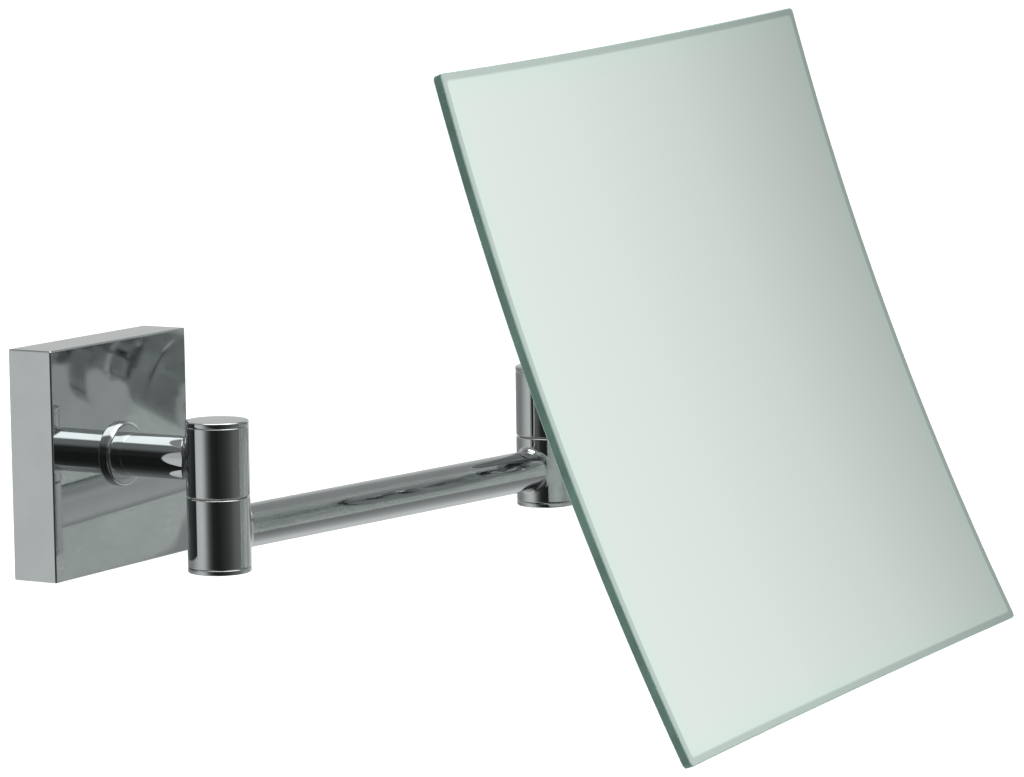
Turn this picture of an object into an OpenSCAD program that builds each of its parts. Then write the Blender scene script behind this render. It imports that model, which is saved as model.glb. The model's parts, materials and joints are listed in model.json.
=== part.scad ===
// Extendable shaving mirror: a square wall rose, a short stub, one swing arm between
// two barrel hinges, and a frameless square concave glass on a ball joint.
// +Z is up. The wall is the plane y = 0 and the mirror stands out from it towards -Y.
// The origin is the centre of the wall bracket's back face.

/* [Wall rose] */
// Width and height of the square rose
rose_w = 63.5; // [58:0.5:80]
// Depth of the rose, from the wall to its front face
rose_d = 14; // [13:0.5:20]
// Thickness of the rose's four side walls
rose_wall = 2.5; // [2:0.1:3.5]
// Thickness of the rose's front wall
rose_front = 3; // [2.5:0.1:4]
// Small bevel along the rose's outer edges
rose_bevel = 0.5; // [0.2:0.1:1]

/* [Wall bracket] */
// Thickness of the bracket's plate and lips
bracket_t = 2.5; // [2:0.1:3]
// Width of the bracket
bracket_w = 52; // [48:0.5:53]
// How far the bracket's lips stand out from the wall
lip_reach = 9; // [8.5:0.5:9.5]
// Clearance between the lips and the inside of the rose
lip_gap = 0.3; // [0.1:0.1:0.6]
// Distance between the two wall screw slots
slot_spacing = 36; // [30:0.5:38]
// Width of a wall screw slot
slot_w = 5.2; // [4:0.1:6]
// End to end length of a wall screw slot
slot_len = 9; // [6:0.5:10]

/* [Tubes] */
// Outside diameter of the stub, the arm and the neck
tube_d = 12; // [10:0.5:13]
// Wall of the arm's tube
tube_wall = 1.5; // [1:0.1:2]
// Length of the stub, from the rose's face to the base hinge's axis
stub_len = 32; // [28:0.5:60]
// Length of the arm, from one hinge axis to the other
arm_len = 146; // [120:1:220]
// Diameter of the collar round the stub's foot
collar_d = 18; // [16:0.5:22]
// Thickness of that collar
collar_t = 2; // [1:0.1:3]

/* [Barrel hinges] */
// Diameter of the barrels
barrel_d = 17.5; // [16.5:0.5:24]
// Height of one knuckle, half of a barrel
knuckle_h = 19.2; // [18.5:0.1:26]
// Thickness of the caps that close a barrel's ends
cap_t = 1.6; // [1:0.1:3]
// Gap between the two knuckles of a barrel
knuckle_gap = 0.4; // [0.3:0.05:0.6]
// Small bevel on the knuckles' and caps' edges
barrel_bevel = 0.35; // [0.2:0.05:0.6]
// Diameter of the hinge bolt's plain shank
shank_d = 6; // [5.5:0.1:6.2]
// Diameter of the hinge bolt's threaded end
thread_d = 5; // [4:0.1:5]
// Across flats of the bolt's head and nut
hex_af = 8; // [7.5:0.1:8.2]
// Height of the bolt's head
head_h = 3.5; // [3:0.1:4]
// Height of the nut
nut_h = 4; // [3:0.1:4.5]

/* [Ball joint] */
// Diameter of the ball
ball_d = 16; // [14:0.5:16.5]
// Distance from the end hinge's axis to the ball's centre
ball_reach = 28; // [27:0.5:40]
// Diameter of the ball's stem
stem_d = 7; // [6:0.1:7.2]
// Running clearance of the ball in its seats and of the seats in the housing
seat_gap = 0.05; // [0.02:0.01:0.1]
// Greatest tilt of the mirror from the stem's axis, in degrees
tilt_limit = 30; // [20:1:30]

/* [Mirror] */
// Width and height of the square glass
glass_w = 200; // [160:1:240]
// Thickness of the glass
glass_t = 3; // [2.5:0.1:5]
// Radius of the concave face
glass_radius = 980; // [800:10:1600]
// Distance from the ball's centre to the middle of the glass's face
glass_reach = 34; // [34:0.5:45]
// Radius of the glass's corners
glass_corner = 1.5; // [1:0.5:10]
// Diameter of the round plate behind the glass
plate_d = 70; // [60:1:110]
// Thickness of that plate
plate_t = 3; // [3:0.1:4]
// Thickness of the adhesive pad at its middle
pad_t = 1; // [0.8:0.1:1.5]

/* [Rest pose] */
// Swing of the arm from straight out of the wall, in degrees
arm_swing = 82.5; // [-90:0.5:90]
// Direction that the neck points in, from straight out of the wall, in degrees
neck_turn = -2.5; // [-25:0.5:25]
// Upward tilt of the mirror, in degrees
mirror_tilt = 21; // [-25:0.5:25]
// Turn of the glass about its own middle, in degrees
mirror_roll = -3; // [-10:0.5:10]

/* [Hidden] */
$fn = 96;
eps = 0.01;
over = 1;                                            // how far a cut runs past the face it opens
hole_clear = 0.4;                                    // added to a bolt's diameter for its hole

// barrel heights: the stub and the neck are on z = 0, the arm is one knuckle lower
split_z = -knuckle_h / 2 - knuckle_gap / 2;          // middle of the gap
upper_foot = split_z + knuckle_gap / 2;              // underside of an upper knuckle
lower_top = split_z - knuckle_gap / 2;               // top of a lower knuckle
upper_top = upper_foot + knuckle_h;
lower_foot = lower_top - knuckle_h;
arm_z = lower_top - knuckle_h / 2;

// plan positions of the hinge axes and of the ball
base_y = -rose_d - stub_len;
end_x = arm_len * sin(arm_swing);
end_y = base_y - arm_len * cos(arm_swing);
ball_x = end_x + ball_reach * sin(neck_turn);
ball_y = end_y - ball_reach * cos(neck_turn);

// barrel insides
barrel_r = barrel_d / 2;
tube_r = tube_d / 2;
socket_floor = tube_r - 0.1;                         // how near the axis a tube's end comes
cavity_r = socket_floor - 0.7;                       // counterbore for head, springs and nut
hex_r = hex_af / 2 / cos(30);
bush_wall = 1;
shank_gap = 0.05;                                    // running clearance of shank in bush
bush_r = shank_d / 2 + shank_gap + bush_wall;
bush_len = 9;
flange_t = knuckle_gap - shank_gap;
flange_r = barrel_r - 0.9;
head_cavity = 6.5;                                   // depth of the cavity over the bolt's head
hex_pocket = 2.5;                                    // part of it that holds the hexagon
cap_spigot = 1.8;
washer_t = 0.8;
spring_t = 0.5;
spring_h = 0.75;
thread_gap = 0.1;
washer_gap = 0.2;                                    // thrust washer in its counterbore
spring_gap = 0.3;                                    // disc springs in the same counterbore
shank_stop = 0.4;                                    // height of the shank's foot over the ledge
cap_root = 0.5;                                      // part of a cap's spigot inside the cap
thread_tail = 0.7;                                   // thread that shows past the nut
shoulder_z = lower_top - bush_len;                   // ledge that the thrust washer bears on
washer_top = shoulder_z - shank_gap;
spring_top = washer_top - washer_t;
nut_top = spring_top - 2 * spring_h;
bolt_foot = nut_top - nut_h - thread_tail;
head_foot = upper_top - head_cavity;

// rose and stub fixings
bracket_h = rose_w - 2 * (rose_wall + lip_gap);
grub_d = 4;
grub_y = -6;
grub_len = 6;
grub_recess = 0.3;
grub_clear = 0.2;                                    // added to its diameter in the bracket
grub_socket_r = 1.15;
grub_socket_depth = 2;
stub_screw_d = 6;
stub_screw_grip = 12;                                // depth of thread in the stub
stub_head_d = 12;
stub_head_h = 3.5;
stub_socket_r = 2.3;
stub_socket_depth = 2.2;
lock_washer_rim = 0.5;                               // head's edge past the washer's
lock_washer_clear = 0.2;
lock_washer_t = 1.5;

// ball joint, measured along the mirror's axis from the ball's centre
ball_r = ball_d / 2;
stem_r = stem_d / 2;
seat_r = ball_r + 2;                                 // outside of the nylon seats
seat_split = 0.3;                                    // half of the gap between the seats
seat_back = ball_r * 0.625;                          // back face of the rear seat
cup_front = ball_r + 1.5;
seat_hole_r = ball_r / 2;                            // grease pocket in the front seat
cone_spring_t = 0.7;
cone_spring_h = 1.4;
cone_spring_inner_r = ball_r * 0.6;
cone_spring_rim = 0.5;                               // seat's edge past the spring's
housing_bore = seat_r + seat_gap;
housing_floor = cup_front + seat_gap + cone_spring_h;
thread_r = housing_bore + 1.75;                      // housing's threaded nose
ring_r = thread_r + 1.8;
ring_back = seat_back + seat_gap + 2.15;
ring_front = 4;
ring_bevel = 0.5;
grip_count = 24;
grip_r = 0.7;
grip_sink = grip_r * 0.35;                           // grip centres past the ring's surface
grip_stop = 1.5;                                     // plain rim in front of the grips
neck_end = 13.5;                                     // from the ball's centre to the neck's face
neck_len = ball_reach - neck_end - socket_floor;
neck_bevel = 0.8;
neck_thread_d = 5;
neck_thread_len = 6;
stem_margin = 0.35;

// radius that the tilted stem needs at a depth behind the ball's centre
function stem_sweep(depth) =
    tan(tilt_limit) * (depth + stem_r * sin(tilt_limit)) + stem_r * cos(tilt_limit) + stem_margin;

// mirror head, along the same axis
glass_back = glass_reach - glass_t;
plate_front = glass_back - pad_t;
plate_back = plate_front - plate_t;
plate_bevel = 0.5;
head_flange_t = 3.5;
head_flange_r = 20;
flange_back = plate_back - head_flange_t;
waist_r = 9;
waist_cone = 5;                                      // length of the cone down to the waist
waist_root = 1.5;                                    // size of the cone between waist and flange
nose_back = -seat_back + 0.2;
nose_front = ring_front + 0.3;
housing_bevel = 0.4;
plate_screws = 3;
plate_screw_ring = 14;                               // radius of the screw circle
plate_screw_d = 4;
plate_screw_len = 6;
csk_r = 4;
csk_h = 2.2;
csk_socket_r = 1.4;
csk_socket_depth = 1.6;
pad_r = plate_d / 2 - 2;
pad_rings = 8;
pad_relief = 0.01;                                   // keeps the pad's rings off the glass
glass_cut = 30;                                      // depth for the glass's bowed edges

chrome_look = [0.78, 0.79, 0.80];
steel_look = [0.62, 0.63, 0.65];
nylon_look = [0.93, 0.93, 0.90];
zinc_look = [0.70, 0.72, 0.75];
foam_look = [0.12, 0.12, 0.13];
glass_look = [0.80, 0.86, 0.83];

// ---- placing ----

module at_base() translate([0, base_y, 0]) children();
module at_end() translate([end_x, end_y, 0]) children();

// local -Y looks along the arm
module arm_way() rotate([0, 0, arm_swing]) children();
module neck_way() rotate([0, 0, neck_turn]) children();

// local +Z runs along -Y, which is out of the wall, along a tube or out of the glass
module outward() rotate([90, 0, 0]) children();

module at_mirror()
    translate([ball_x, ball_y, 0]) neck_way()
        rotate([-mirror_tilt, 0, 0]) rotate([0, mirror_roll, 0])
            outward() children();

// ---- shared shapes ----

// a round bar with a bevel at both ends, standing on z = 0
module bevelled_bar(r, h, bevel)
    rotate_extrude()
        polygon([[0, 0], [r - bevel, 0], [r, bevel], [r, h - bevel], [r - bevel, h], [0, h]]);

module ring(outer_r, inner_r, h)
    difference() {
        cylinder(r = outer_r, h = h);
        translate([0, 0, -over]) cylinder(r = inner_r, h = h + 2 * over);
    }

// blind socket in a knuckle for a tube that leaves it along -Y
module tube_socket(z)
    translate([0, -socket_floor, z]) outward() cylinder(r = tube_r, h = barrel_r);

// a coned washer: high at its inner edge when up is 1, at its outer edge when up is -1
module coned_washer(outer_r, inner_r, t, h, up = 1)
    rotate_extrude() {
        rise = h - t;
        inner_z = up > 0 ? rise : 0;
        outer_z = up > 0 ? 0 : rise;
        polygon([[inner_r, inner_z], [outer_r, outer_z], [outer_r, outer_z + t],
                 [inner_r, inner_z + t]]);
    }

// ---- barrel hinge, its axis on z ----

module upper_knuckle()
    difference() {
        translate([0, 0, upper_foot]) bevelled_bar(barrel_r, knuckle_h, barrel_bevel);
        translate([0, 0, upper_foot - over]) cylinder(d = shank_d, h = knuckle_h);
        translate([0, 0, head_foot]) cylinder(r = hex_r, h = head_cavity, $fn = 6);
        translate([0, 0, head_foot + hex_pocket]) cylinder(r = cavity_r, h = head_cavity);
        tube_socket(0);
    }

module lower_knuckle()
    difference() {
        translate([0, 0, lower_foot]) bevelled_bar(barrel_r, knuckle_h, barrel_bevel);
        translate([0, 0, lower_foot - over]) cylinder(r = bush_r, h = knuckle_h + 2 * over);
        translate([0, 0, lower_foot - over])
            cylinder(r = cavity_r, h = shoulder_z - lower_foot + over);
        tube_socket(arm_z);
    }

// a cap with a spigot that plugs the cavity; its foot is the face against the knuckle
module end_cap()
    union() {
        bevelled_bar(barrel_r, cap_t, barrel_bevel);
        translate([0, 0, -cap_spigot]) cylinder(r = cavity_r, h = cap_spigot + cap_root);
    }

module top_cap() translate([0, 0, upper_top]) end_cap();
module bottom_cap() translate([0, 0, lower_foot]) mirror([0, 0, 1]) end_cap();

module hinge_bolt()
    union() {
        translate([0, 0, head_foot]) cylinder(r = hex_r, h = head_h, $fn = 6);
        translate([0, 0, shoulder_z + shank_stop])
            cylinder(d = shank_d, h = head_foot - shoulder_z - shank_stop + eps);
        translate([0, 0, bolt_foot]) cylinder(d = thread_d, h = shoulder_z - bolt_foot + over);
    }

module hinge_bush()
    difference() {
        union() {
            translate([0, 0, shoulder_z]) cylinder(r = bush_r, h = bush_len + eps);
            translate([0, 0, lower_top]) cylinder(r = flange_r, h = flange_t);
        }
        translate([0, 0, shoulder_z - over])
            cylinder(r = shank_d / 2 + shank_gap, h = bush_len + knuckle_gap + 2 * over);
    }

module thrust_washer()
    translate([0, 0, spring_top])
        ring(cavity_r - washer_gap, thread_d / 2 + thread_gap, washer_t);

// two disc springs, edge to edge
module disc_springs() {
    translate([0, 0, spring_top - spring_h])
        coned_washer(cavity_r - spring_gap, thread_d / 2 + thread_gap, spring_t, spring_h, 1);
    translate([0, 0, spring_top - 2 * spring_h])
        coned_washer(cavity_r - spring_gap, thread_d / 2 + thread_gap, spring_t, spring_h, -1);
}

module hinge_nut()
    translate([0, 0, nut_top - nut_h])
        difference() {
            cylinder(r = hex_r, h = nut_h, $fn = 6);
            translate([0, 0, -over]) cylinder(d = thread_d, h = nut_h + 2 * over);
        }

// ---- wall mount ----

module wall_bracket()
    color(zinc_look)
    difference() {
        union() {
            translate([-bracket_w / 2, -bracket_t, -bracket_h / 2])
                cube([bracket_w, bracket_t, bracket_h]);
            for (side = [-1, 1])
                translate([-bracket_w / 2, -lip_reach,
                           side * (bracket_h - bracket_t) / 2 - bracket_t / 2])
                    cube([bracket_w, lip_reach, bracket_t]);
        }
        for (side = [-1, 1], end = [-1, 1])
            translate([side * slot_spacing / 2 + end * (slot_len - slot_w) / 2, over, 0])
                outward() cylinder(d = slot_w, h = bracket_t + 2 * over);
        for (side = [-1, 1])
            translate([side * slot_spacing / 2 - (slot_len - slot_w) / 2,
                       -bracket_t - over, -slot_w / 2])
                cube([slot_len - slot_w, bracket_t + 2 * over, slot_w]);
        translate([0, grub_y, -bracket_h / 2 - over])
            cylinder(d = grub_d + grub_clear, h = bracket_t + 2 * over);
    }

// the rose's outline from above or from the side, bevelled at its front corners
module rose_side_outline()
    polygon([[-rose_w / 2, 0], [rose_w / 2, 0], [rose_w / 2, -rose_d + rose_bevel],
             [rose_w / 2 - rose_bevel, -rose_d], [-rose_w / 2 + rose_bevel, -rose_d],
             [-rose_w / 2, -rose_d + rose_bevel]]);

module rose_front_outline() {
    half = rose_w / 2;
    polygon([for (quarter = [0 : 3], corner = [0, 1])
        let (across = corner == 0 ? half : half - rose_bevel,
             along = corner == 0 ? half - rose_bevel : half,
             turn = 90 * quarter)
        [across * cos(turn) - along * sin(turn), across * sin(turn) + along * cos(turn)]]);
}

module wall_rose()
    color(chrome_look)
    difference() {
        intersection() {
            outward() linear_extrude(rose_d) rose_front_outline();
            translate([0, 0, -rose_w / 2]) linear_extrude(rose_w) rose_side_outline();
            rotate([0, 90, 0]) translate([0, 0, -rose_w / 2])
                linear_extrude(rose_w) rose_side_outline();
        }
        translate([-rose_w / 2 + rose_wall, -rose_d + rose_front, -rose_w / 2 + rose_wall])
            cube([rose_w - 2 * rose_wall, rose_d, rose_w - 2 * rose_wall]);
        translate([0, -rose_d + rose_front + over, 0])
            outward() cylinder(d = stub_screw_d + hole_clear, h = rose_front + 2 * over);
        translate([0, grub_y, -rose_w / 2 - over])
            cylinder(d = grub_d, h = rose_wall + 2 * over);
    }

module rose_grub_screw()
    color(steel_look)
    translate([0, grub_y, -rose_w / 2 + grub_recess])
        difference() {
            cylinder(d = grub_d, h = grub_len);
            translate([0, 0, -over])
                cylinder(r = grub_socket_r, h = grub_socket_depth + over, $fn = 6);
        }

module stub_collar()
    color(chrome_look)
    translate([0, -rose_d, 0]) outward()
        difference() {
            rotate_extrude()
                union() {
                    square([collar_d / 2 - collar_t / 2, collar_t]);
                    square([collar_d / 2, collar_t / 2]);
                    translate([collar_d / 2 - collar_t / 2, collar_t / 2])
                        circle(d = collar_t, $fn = 48);
                }
            translate([0, 0, -over]) cylinder(r = tube_r, h = collar_t + 2 * over);
        }

module wall_stub()
    color(chrome_look)
    translate([0, -rose_d, 0]) outward()
        difference() {
            cylinder(r = tube_r, h = stub_len - socket_floor);
            translate([0, 0, -over]) cylinder(d = stub_screw_d, h = stub_screw_grip + over);
        }

module stub_lock_washer()
    color(steel_look)
    translate([0, -rose_d + rose_front + lock_washer_t, 0])
        outward() ring(stub_head_d / 2 - lock_washer_rim,
                       stub_screw_d / 2 + lock_washer_clear, lock_washer_t);

module stub_screw()
    color(steel_look)
    translate([0, -rose_d + rose_front + lock_washer_t, 0]) outward()
        difference() {
            union() {
                translate([0, 0, -stub_head_h]) cylinder(d = stub_head_d, h = stub_head_h);
                translate([0, 0, -over])
                    cylinder(d = stub_screw_d,
                             h = lock_washer_t + rose_front + stub_screw_grip - over);
            }
            translate([0, 0, -stub_head_h - over])
                cylinder(r = stub_socket_r, h = stub_socket_depth + over, $fn = 6);
        }

// ---- base hinge ----

module base_upper_knuckle() color(chrome_look) at_base() rotate([0, 0, 180]) upper_knuckle();
module base_top_cap() color(chrome_look) at_base() top_cap();
module base_hinge_bolt() color(steel_look) at_base() rotate([0, 0, 180]) hinge_bolt();
module base_thrust_washer() color(steel_look) at_base() thrust_washer();
module base_disc_springs() color(steel_look) at_base() disc_springs();
module base_hinge_nut() color(steel_look) at_base() hinge_nut();
module base_lower_knuckle() color(chrome_look) at_base() arm_way() lower_knuckle();
module base_hinge_bush() color(nylon_look) at_base() hinge_bush();
module base_bottom_cap() color(chrome_look) at_base() bottom_cap();

// ---- arm ----

module swing_arm()
    color(chrome_look)
    at_base() arm_way() translate([0, -socket_floor, arm_z])
        outward() ring(tube_r, tube_r - tube_wall, arm_len - 2 * socket_floor);

// ---- end hinge ----

module end_lower_knuckle()
    color(chrome_look) at_end() arm_way() rotate([0, 0, 180]) lower_knuckle();
module end_hinge_bush() color(nylon_look) at_end() hinge_bush();
module end_bottom_cap() color(chrome_look) at_end() bottom_cap();
module end_upper_knuckle() color(chrome_look) at_end() neck_way() upper_knuckle();
module end_top_cap() color(chrome_look) at_end() top_cap();
module end_hinge_bolt() color(steel_look) at_end() neck_way() hinge_bolt();
module end_thrust_washer() color(steel_look) at_end() thrust_washer();
module end_disc_springs() color(steel_look) at_end() disc_springs();
module end_hinge_nut() color(steel_look) at_end() hinge_nut();

module neck()
    color(chrome_look)
    at_end() neck_way() translate([0, -socket_floor, 0]) outward()
        difference() {
            rotate_extrude()
                polygon([[0, 0], [tube_r, 0], [tube_r, neck_len - neck_bevel],
                         [tube_r - neck_bevel, neck_len], [0, neck_len]]);
            translate([0, 0, neck_len - neck_thread_len])
                cylinder(d = neck_thread_d, h = neck_thread_len + over);
        }

module ball_stud()
    color(chrome_look)
    at_end() neck_way() translate([0, -ball_reach, 0]) outward()
        union() {
            sphere(r = ball_r);
            translate([0, 0, -neck_end]) cylinder(r = stem_r, h = neck_end);
            translate([0, 0, -neck_end - neck_thread_len])
                cylinder(d = neck_thread_d, h = neck_thread_len + over);
        }

// ---- ball seats ----

module rear_ball_seat()
    color(nylon_look)
    at_mirror()
        difference() {
            translate([0, 0, -seat_back]) cylinder(r = seat_r, h = seat_back - seat_split);
            sphere(r = ball_r + seat_gap);
            rotate_extrude()
                polygon([[0, -seat_back - over],
                         [stem_sweep(seat_back + over), -seat_back - over],
                         [stem_sweep(0), 0], [0, 0]]);
        }

module front_ball_seat()
    color(nylon_look)
    at_mirror()
        difference() {
            translate([0, 0, seat_split]) cylinder(r = seat_r, h = cup_front - seat_split);
            sphere(r = ball_r + seat_gap);
            cylinder(r = seat_hole_r, h = cup_front + over);
        }

// ---- mirror head ----

module seat_spring()
    color(steel_look)
    at_mirror() translate([0, 0, cup_front + seat_gap])
        coned_washer(seat_r - cone_spring_rim, cone_spring_inner_r,
                     cone_spring_t, cone_spring_h, -1);

module plate_screw_places()
    for (k = [0 : plate_screws - 1])
        rotate([0, 0, 90 + k * 360 / plate_screws]) translate([plate_screw_ring, 0, 0]) children();

module socket_housing()
    color(chrome_look)
    at_mirror()
        difference() {
            rotate_extrude()
                polygon([
                    [0, nose_back], [thread_r, nose_back],
                    [thread_r, nose_front], [ring_r - housing_bevel, nose_front],
                    [ring_r, nose_front + housing_bevel], [ring_r, housing_floor],
                    [waist_r, housing_floor + waist_cone], [waist_r, flange_back - waist_root],
                    [waist_r + waist_root, flange_back],
                    [head_flange_r - housing_bevel, flange_back],
                    [head_flange_r, flange_back + housing_bevel], [head_flange_r, plate_back],
                    [0, plate_back]]);
            translate([0, 0, -seat_back - over])
                cylinder(r = housing_bore, h = seat_back + housing_floor + over);
            translate([0, 0, plate_front - plate_screw_len]) plate_screw_places()
                cylinder(d = plate_screw_d, h = plate_screw_len);
        }

module clamp_ring()
    color(chrome_look)
    at_mirror()
        difference() {
            translate([0, 0, -ring_back])
                bevelled_bar(ring_r, ring_back + ring_front, ring_bevel);
            translate([0, 0, -seat_back - seat_gap])
                cylinder(r = thread_r, h = seat_back + ring_front + over);
            rotate_extrude()
                polygon([[0, -ring_back - over],
                         [stem_sweep(ring_back + over), -ring_back - over],
                         [stem_sweep(0), 0], [0, 0]]);
            for (k = [0 : grip_count - 1])
                rotate([0, 0, k * 360 / grip_count])
                    translate([ring_r + grip_sink, 0, -ring_back - over])
                        cylinder(r = grip_r, h = ring_back + ring_front - grip_stop, $fn = 24);
        }

module back_plate()
    color(chrome_look)
    at_mirror()
        difference() {
            translate([0, 0, plate_back]) bevelled_bar(plate_d / 2, plate_t, plate_bevel);
            plate_screw_places() {
                translate([0, 0, plate_back - over])
                    cylinder(d = plate_screw_d + hole_clear, h = plate_t + 2 * over);
                translate([0, 0, plate_front - csk_h])
                    cylinder(r1 = plate_screw_d / 2, r2 = csk_r, h = csk_h);
            }
        }

module back_plate_screws()
    color(steel_look)
    at_mirror() plate_screw_places()
        difference() {
            union() {
                translate([0, 0, plate_front - plate_screw_len])
                    cylinder(d = plate_screw_d, h = plate_screw_len - csk_h + eps);
                translate([0, 0, plate_front - csk_h])
                    cylinder(r1 = plate_screw_d / 2, r2 = csk_r, h = csk_h);
            }
            translate([0, 0, plate_front - csk_socket_depth])
                cylinder(r = csk_socket_r, h = csk_socket_depth + over, $fn = 6);
        }

// the pad's front follows the back of the glass
module adhesive_pad() {
    back_r = glass_radius + glass_t + pad_relief;
    color(foam_look)
    at_mirror()
        rotate_extrude()
            polygon(concat(
                [[0, plate_front], [pad_r, plate_front]],
                [for (k = [pad_rings : -1 : 0])
                    let (r = k * pad_r / pad_rings)
                    [r, glass_reach + glass_radius - sqrt(back_r * back_r - r * r)]]));
}

module glass_outline() {
    inner = glass_w - 2 * glass_corner;
    square([inner, glass_w], center = true);
    square([glass_w, inner], center = true);
    for (x = [-1, 1], y = [-1, 1])
        translate([x * inner / 2, y * inner / 2]) circle(r = glass_corner, $fn = 32);
}

module mirror_glass()
    color(glass_look)
    at_mirror()
        intersection() {
            translate([0, 0, glass_back]) linear_extrude(glass_t + glass_cut) glass_outline();
            translate([0, 0, glass_reach + glass_radius])
                difference() {
                    sphere(r = glass_radius + glass_t, $fn = 256);
                    sphere(r = glass_radius, $fn = 256);
                }
        }

wall_bracket();
wall_rose();
rose_grub_screw();
stub_screw();
stub_lock_washer();
stub_collar();
wall_stub();
base_upper_knuckle();
base_top_cap();
base_hinge_bolt();
base_thrust_washer();
base_disc_springs();
base_hinge_nut();
base_lower_knuckle();
base_hinge_bush();
base_bottom_cap();
swing_arm();
end_lower_knuckle();
end_hinge_bush();
end_bottom_cap();
end_upper_knuckle();
end_top_cap();
end_hinge_bolt();
end_thrust_washer();
end_disc_springs();
end_hinge_nut();
neck();
ball_stud();
rear_ball_seat();
front_ball_seat();
seat_spring();
socket_housing();
clamp_ring();
back_plate();
back_plate_screws();
adhesive_pad();
mirror_glass();
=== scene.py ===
import json
import math

import bmesh
import bpy
from mathutils import Matrix, Vector


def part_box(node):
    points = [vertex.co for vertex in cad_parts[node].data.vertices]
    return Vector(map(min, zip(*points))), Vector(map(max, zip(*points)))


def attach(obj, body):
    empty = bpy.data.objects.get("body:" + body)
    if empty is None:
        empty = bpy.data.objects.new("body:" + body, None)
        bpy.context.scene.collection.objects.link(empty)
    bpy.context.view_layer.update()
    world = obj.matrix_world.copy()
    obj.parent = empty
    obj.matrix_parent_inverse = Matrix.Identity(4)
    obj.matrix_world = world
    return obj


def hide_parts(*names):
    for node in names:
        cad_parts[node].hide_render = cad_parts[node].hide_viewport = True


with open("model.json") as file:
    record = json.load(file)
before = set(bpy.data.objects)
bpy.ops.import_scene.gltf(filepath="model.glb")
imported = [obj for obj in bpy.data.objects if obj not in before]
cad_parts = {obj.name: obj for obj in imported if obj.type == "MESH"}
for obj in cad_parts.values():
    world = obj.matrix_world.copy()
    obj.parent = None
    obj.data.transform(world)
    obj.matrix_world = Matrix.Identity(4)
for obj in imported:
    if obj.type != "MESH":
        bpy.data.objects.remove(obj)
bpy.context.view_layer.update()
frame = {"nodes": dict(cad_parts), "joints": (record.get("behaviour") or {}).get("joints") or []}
scene = bpy.context.scene
mm = 0.001

# places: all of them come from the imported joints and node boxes
jointAt = {j["name"]: Vector(j["pos_m"]) for j in frame["joints"]}
jointAxis = {j["name"]: Vector(j["axis"]).normalized() for j in frame["joints"]}
up = Vector((0, 0, 1))
outOfWall = Vector((0, -1, 0))
baseAxis = jointAt["arm_swing"]
endAxis = jointAt["mirror_swing"]
ballCentre = jointAt["mirror_tilt"]
armWay = (endAxis - baseAxis).normalized()
neckWay = (ballCentre - endAxis).normalized()
mirrorWay = jointAxis["mirror_spin"]  # out of the glass


def alongWay(origin, way):  # local z runs along way, local y is up
    return Matrix.Translation(origin) @ Matrix((up.cross(way), up, way)).transposed().to_4x4()


def atHeight(point, height):
    return Vector((point.x, point.y, height))


# finishes: every pattern is sized in real millimetres
def hexColour(code):  # sRGB hex to linear
    parts = [int(code[i:i + 2], 16) / 255 for i in (1, 3, 5)]
    return [c / 12.92 if c <= 0.04045 else ((c + 0.055) / 1.055) ** 2.4 for c in parts] + [1]


def grey(tone):
    return [tone, tone, tone, 1]


def addNode(tree, kind, settings, links=None, stops=None):
    node = tree.nodes.new(kind)
    for key, value in settings.items():
        if isinstance(key, str) and hasattr(node, key):
            setattr(node, key, value)
        else:
            node.inputs[key].default_value = value
    for key, source in (links or {}).items():
        tree.links.new(source, node.inputs[key])
    if stops:  # a ramp's stops are made in their place, because a moved stop changes its number
        ramp = node.color_ramp.elements
        ramp.remove(ramp[1])
        ramp[0].color = stops[0][1]
        for share, colour in stops[1:]:
            ramp.new(share).color = colour
    return node


def startFinish(name):
    finish = bpy.data.materials.new(name)
    finish.use_nodes = True
    tree = finish.node_tree
    tree.nodes.clear()
    place = addNode(tree, "ShaderNodeTexCoord", {}).outputs["Object"]
    return finish, tree, place


def perMm(size):  # noise scale that gives features of this size in millimetres
    return 1 / (size * mm)


# chromium plate on polished brass: a hard cool mirror with a trace of finger haze and buffing waves
chromeLook = {"tone": "#C2C5C6", "hazeTone": "#BCBFC0", "clear": 0.04, "hazed": 0.085,
              "hazeSize": 16, "buffSize": 0.8, "buffDepth": 0.0006, "buffStretch": (1, 1, 0.15)}


def chromePlatedBrass():
    look = chromeLook
    finish, tree, place = startFinish("chrome plated brass, polished")
    haze = addNode(tree, "ShaderNodeTexNoise",
                   {"Scale": perMm(look["hazeSize"]), "Detail": 4, "Roughness": 0.55},
                   {"Vector": place})
    hazed = addNode(tree, "ShaderNodeMapRange", {"From Min": 0.45, "From Max": 0.75},
                    {"Value": haze.outputs["Fac"]})
    tone = addNode(tree, "ShaderNodeMix",
                   {"data_type": "RGBA", 6: hexColour(look["tone"]),
                    7: hexColour(look["hazeTone"])},
                   {0: hazed.outputs[0]})
    rough = addNode(tree, "ShaderNodeMapRange", {"To Min": look["clear"], "To Max": look["hazed"]},
                    {"Value": hazed.outputs[0]})
    drawn = addNode(tree, "ShaderNodeMapping", {"Scale": look["buffStretch"]}, {"Vector": place})
    waves = addNode(tree, "ShaderNodeTexNoise",  # real buffing lines are finer than can show
                    {"Scale": perMm(look["buffSize"]), "Detail": 1}, {"Vector": drawn.outputs[0]})
    relief = addNode(tree, "ShaderNodeBump", {"Distance": look["buffDepth"] * mm},
                     {"Height": waves.outputs["Fac"]})
    shader = addNode(tree, "ShaderNodeBsdfPrincipled", {"Metallic": 1.0},
                     {"Base Color": tone.outputs[2], "Roughness": rough.outputs[0],
                      "Normal": relief.outputs[0]})
    addNode(tree, "ShaderNodeOutputMaterial", {}, {"Surface": shader.outputs[0]})
    return finish


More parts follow.
